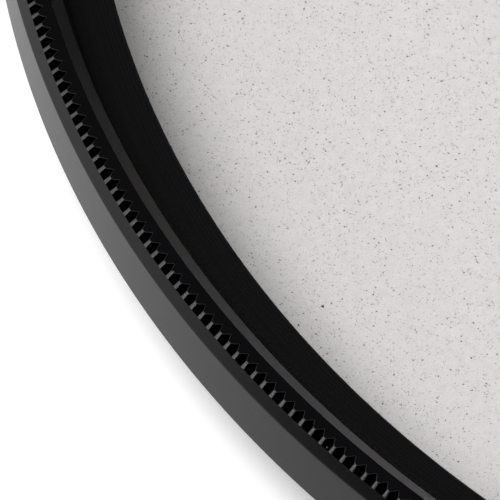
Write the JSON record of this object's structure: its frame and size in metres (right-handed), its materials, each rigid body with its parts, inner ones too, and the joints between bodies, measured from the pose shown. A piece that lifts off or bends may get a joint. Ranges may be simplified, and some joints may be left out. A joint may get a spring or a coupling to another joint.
{
  "type": "screw-in lens filter",
  "caption": "Slim round screw-in lens filter: a black ring with a knurled front edge, a male thread at the rear and a thread in front, holding a speckled mist glass.",
  "frame": {"origin": "centre of the filter on the rear end of the male thread, where it lies on a table", "axes": "+Z along the filter's axis, from the lens side to the front"},
  "size_m": [0.0842, 0.0842, 0.0053],
  "materials": {
    "ring": "black anodised, satin",
    "glass": "polished, with fine dark mist grains",
    "retainer": "black anodised, matte, fine turning lines"
  },
  "bodies": {
    "root": {"filter_ring": "ring", "filter_glass": "glass", "retaining_ring": "retainer"}
  },
  "joints": []
}
